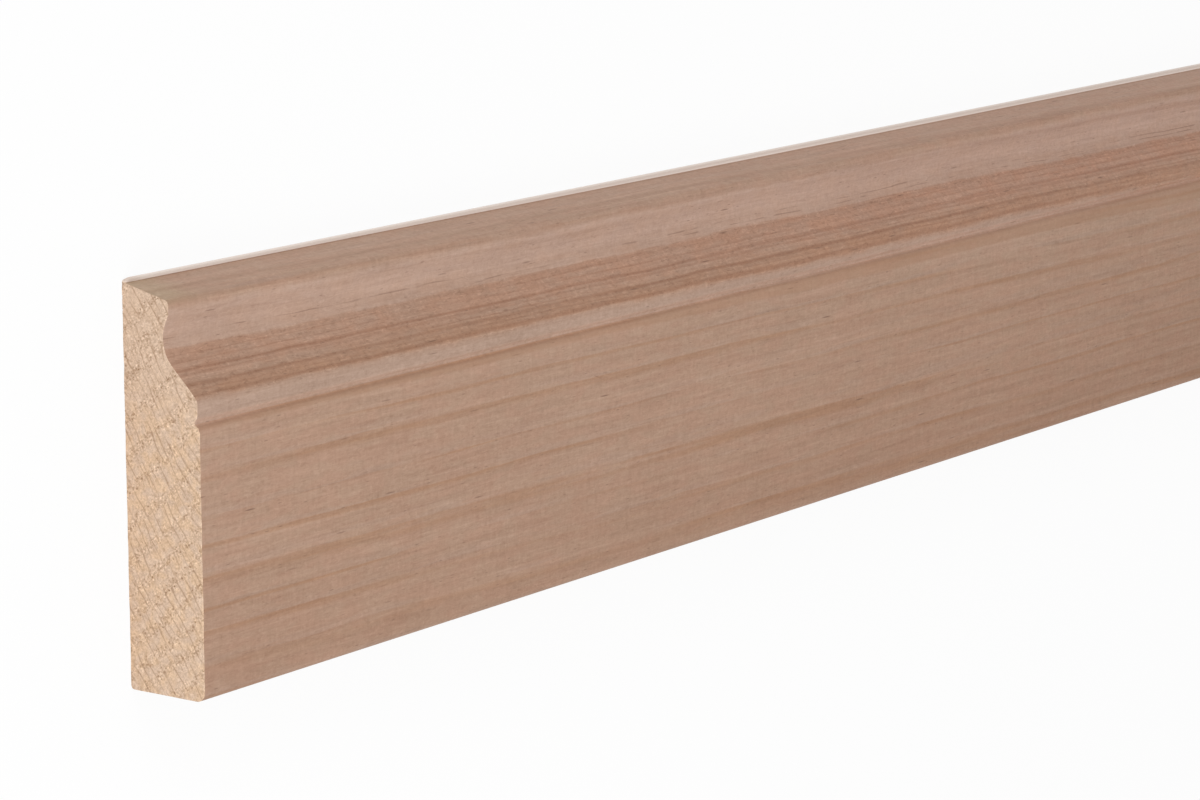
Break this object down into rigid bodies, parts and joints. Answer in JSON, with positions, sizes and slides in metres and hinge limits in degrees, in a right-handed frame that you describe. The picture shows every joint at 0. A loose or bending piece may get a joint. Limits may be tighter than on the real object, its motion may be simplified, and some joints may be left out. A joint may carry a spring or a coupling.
{
  "type": "colonial architrave",
  "caption": "Straight length of hardwood colonial architrave with a nosed, coved and beaded edge beside a flat face, used to trim the joint between a door or window frame and the wall.",
  "frame": {"origin": "centre of the length and width, on the flat back", "axes": "+X along the length, +Y across the width towards the thin moulded edge, +Z out of the moulded face, away from the back"},
  "size_m": [2.4, 0.069, 0.016],
  "materials": {
    "timber": "planed, unfinished"
  },
  "bodies": {
    "root": {"architrave": "timber"}
  },
  "joints": []
}
